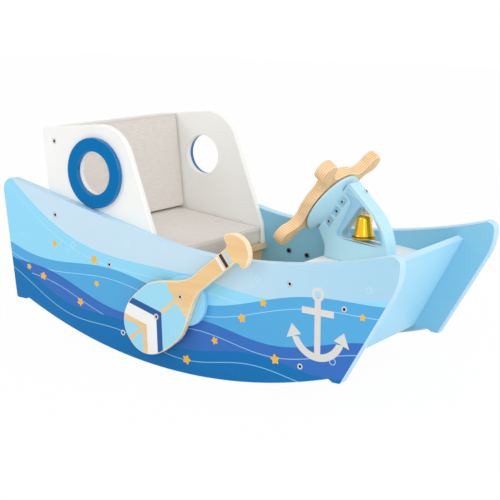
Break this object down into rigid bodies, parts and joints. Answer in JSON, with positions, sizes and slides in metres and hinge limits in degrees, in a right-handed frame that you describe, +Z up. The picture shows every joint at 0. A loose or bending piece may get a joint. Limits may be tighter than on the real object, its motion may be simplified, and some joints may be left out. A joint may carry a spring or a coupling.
{
  "type": "rocking boat",
  "caption": "Toddler's rocking boat with curved side panels, a winged cushioned seat, a steering wheel on a bow console, a hanging bell and a swinging paddle on each side.",
  "frame": {"origin": "middle of the length and width of the boat, on the floor", "axes": "+X to the bow, +Y to port, +Z up"},
  "size_m": [0.8996, 0.4146, 0.4374],
  "materials": {
    "panel_print": "printed board in blues, satin lacquer",
    "sky_paint": "light blue paint, satin",
    "white_paint": "white paint, satin",
    "birch_ply": "clear lacquered plywood",
    "beech": "clear lacquered solid wood",
    "ring_blue": "moulded, semi-gloss",
    "linen": "woven linen look over foam",
    "sky_plastic": "moulded, satin",
    "paddle_print": "painted stripes on wood, satin",
    "bell_enamel": "glossy enamel",
    "nylon": "plain nylon",
    "bright_steel": "zinc plated",
    "dark_steel": "black zinc"
  },
  "bodies": {
    "hull": {"side_panel_right": "panel_print", "side_panel_left": "panel_print", "bow_panel": "sky_paint", "foredeck": "white_paint", "floor_board": "birch_ply", "seat_board": "birch_ply", "seat_apron": "beech", "backrest_board": "white_paint", "wing_right": "white_paint", "wing_left": "white_paint", "porthole_ring_right": "ring_blue", "porthole_ring_left": "ring_blue", "seat_cushion": "linen", "back_cushion": "linen", "console_right": "sky_plastic", "console_left": "sky_plastic", "console_screws": "bright_steel", "console_foot_screws": "dark_steel", "wheel_axle": "bright_steel", "wheel_washer": "nylon", "wheel_nut": "dark_steel", "bell_staple": "bright_steel", "paddle_disc_right": "sky_paint", "paddle_disc_left": "sky_paint", "paddle_pivot_right": "bright_steel", "paddle_pivot_left": "bright_steel", "disc_bolts_right": "bright_steel", "disc_bolts_left": "bright_steel", "hull_bolts_right": "bright_steel", "hull_bolts_left": "bright_steel", "barrel_nuts": "bright_steel", "wing_screws": "bright_steel", "apron_screws": "dark_steel"},
    "wheel": {"wheel": "beech", "wheel_bushing": "nylon"},
    "paddle_right": {"paddle_right": "paddle_print", "paddle_glide_right": "nylon", "paddle_screw_right": "bright_steel"},
    "paddle_left": {"paddle_left": "paddle_print", "paddle_glide_left": "nylon", "paddle_screw_left": "bright_steel"},
    "bell": {"bell": "bell_enamel", "bell_stem": "bright_steel"},
    "clapper": {"bell_clapper": "dark_steel"}
  },
  "joints": [
    {"name": "wheel_spin", "type": "hinge", "parent": "hull", "child": "wheel", "pos_m": [0.20878, 0, 0.31012], "axis": [-0.8141, 0, 0.5807], "continuous": true},
    {"name": "paddle_right_swing", "type": "hinge", "parent": "hull", "child": "paddle_right", "pos_m": [0.025, -0.2013, 0.15], "axis": [0, 1, 0], "range_deg": [-20, 40]},
    {"name": "paddle_left_swing", "type": "hinge", "parent": "hull", "child": "paddle_left", "pos_m": [0.025, 0.2013, 0.15], "axis": [0, 1, 0], "range_deg": [-20, 40]},
    {"name": "bell_swing", "type": "hinge", "parent": "hull", "child": "bell", "pos_m": [0.27602, 0, 0.30203], "axis": [1, 0, 0], "range_deg": [-28, 28]},
    {"name": "clapper_swing", "type": "hinge", "parent": "bell", "child": "clapper", "pos_m": [0.27602, 0, 0.28593], "axis": [1, 0, 0], "range_deg": [-20, 20]}
  ]
}
